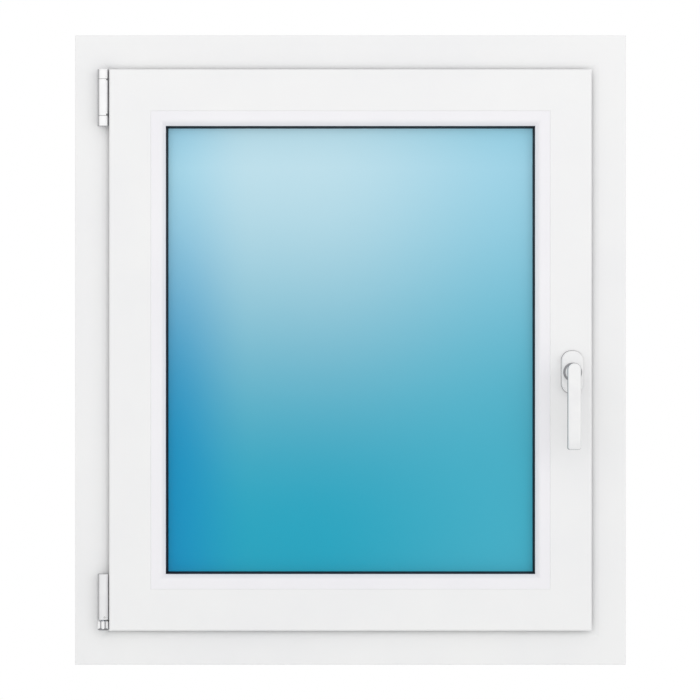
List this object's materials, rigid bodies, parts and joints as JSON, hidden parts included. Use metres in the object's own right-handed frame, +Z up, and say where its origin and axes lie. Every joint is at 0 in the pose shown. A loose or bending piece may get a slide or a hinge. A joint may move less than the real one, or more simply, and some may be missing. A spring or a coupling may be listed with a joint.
{
  "type": "tilt and turn casement window",
  "caption": "White single-sash inward-opening window: hollow plastic frame and sash, double glazing, lever handle with locking gear, turns on its left edge and tilts.",
  "frame": {"origin": "middle of the frame's bottom face, at mid depth", "axes": "+X to the right seen from the room, +Y towards outdoors, +Z up; the room side faces -Y"},
  "size_m": [0.7, 0.149, 0.8],
  "materials": {
    "upvc_white": "satin extruded uPVC",
    "bead_white": "satin extruded uPVC",
    "steel_galvanised": "galvanised",
    "gasket_black": "matt EPDM rubber",
    "edge_seal_black": "matt sealant",
    "glass_clear": "clear float glass",
    "spacer_aluminium": "satin",
    "block_plastic": "moulded",
    "hinge_white": "white powder coat",
    "hardware_silver": "zinc plated",
    "handle_white": "white powder coat",
    "base_plastic": "moulded"
  },
  "bodies": {
    "frame": {"frame_head": "upvc_white", "frame_sill": "upvc_white", "frame_jamb_hinge": "upvc_white", "frame_jamb_lock": "upvc_white", "frame_steels": "steel_galvanised", "frame_gasket": "gasket_black", "drain_caps": "bead_white", "keeps_lock": "hardware_silver", "keep_top": "hardware_silver", "keep_tilt": "hardware_silver", "keep_screws": "hardware_silver", "corner_bearing": "hardware_silver", "corner_bearing_cover": "hinge_white", "stay_bearing_upper": "hardware_silver", "stay_bearing_lower": "hardware_silver", "stay_bearing_pin": "hardware_silver", "hinge_screws": "hardware_silver"},
    "corner_pivot": {"pivot_swivel": "hardware_silver", "trunnion_pin": "hardware_silver"},
    "sash": {"sash_rail_top": "upvc_white", "sash_rail_bottom": "upvc_white", "sash_stile_hinge": "upvc_white", "sash_stile_lock": "upvc_white", "sash_steels": "steel_galvanised", "glazing_bead_top": "bead_white", "glazing_bead_bottom": "bead_white", "glazing_bead_hinge": "bead_white", "glazing_bead_lock": "bead_white", "glass_inner_pane": "glass_clear", "glass_outer_pane": "glass_clear", "glass_spacer": "spacer_aluminium", "glass_edge_seal": "edge_seal_black", "bead_gasket": "gasket_black", "outer_glazing_gasket": "gasket_black", "sash_gasket": "gasket_black", "setting_blocks": "block_plastic", "sash_hinge_band": "hardware_silver", "pivot_post": "hardware_silver", "gearbox_housing": "hardware_silver", "lock_faceplate": "hardware_silver", "top_faceplate": "hardware_silver", "bottom_faceplate": "hardware_silver", "stay_guide_rail": "hardware_silver", "corner_drive_top": "hardware_silver", "corner_drive_bottom": "hardware_silver", "sash_hardware_screws": "hardware_silver", "handle_base": "base_plastic", "handle_rosette": "handle_white", "handle_screws": "hardware_silver"},
    "handle": {"handle_lever": "handle_white", "handle_spindle": "hardware_silver", "gear_pinion": "hardware_silver"},
    "lock_rod": {"drive_rod": "hardware_silver", "lock_cams": "hardware_silver"},
    "top_rod": {"rod_top": "hardware_silver"},
    "bottom_rod": {"rod_bottom": "hardware_silver"},
    "stay": {"stay_arm": "hardware_silver", "stay_slide_pin": "hardware_silver"}
  },
  "joints": [
    {"name": "sash_turn", "type": "hinge", "parent": "frame", "child": "corner_pivot", "pos_m": [-0.3136, -0.0432, 0.0484], "axis": [0, 0, -1], "range_deg": [0, 90]},
    {"name": "sash_tilt", "type": "hinge", "parent": "corner_pivot", "child": "sash", "pos_m": [-0.3136, -0.0432, 0.0484], "axis": [1, 0, 0], "range_deg": [0, 7.5]},
    {"name": "stay_swing", "type": "hinge", "parent": "corner_pivot", "child": "stay", "pos_m": [-0.3136, -0.0432, 0.745], "axis": [0, 0, -1], "range_deg": [0, 20.85]},
    {"name": "handle_turn", "type": "hinge", "parent": "sash", "child": "handle", "pos_m": [0.2806, -0.053, 0.372], "axis": [0, 1, 0], "range_deg": [0, 180]},
    {"name": "lock_rod_slide", "type": "slide", "parent": "sash", "child": "lock_rod", "axis": [0, 0, 1], "range_m": [0, 0.02262]},
    {"name": "top_rod_slide", "type": "slide", "parent": "sash", "child": "top_rod", "axis": [-1, 0, 0], "range_m": [0, 0.02262]},
    {"name": "bottom_rod_slide", "type": "slide", "parent": "sash", "child": "bottom_rod", "axis": [1, 0, 0], "range_m": [0, 0.02262]}
  ],
  "couplings": [
    {"joint": "stay_swing", "follows": "sash_tilt", "ratio": 2.78},
    {"joint": "lock_rod_slide", "follows": "handle_turn", "m_per_rad": 0.0072},
    {"joint": "top_rod_slide", "follows": "handle_turn", "m_per_rad": 0.0072},
    {"joint": "bottom_rod_slide", "follows": "handle_turn", "m_per_rad": 0.0072}
  ]
}
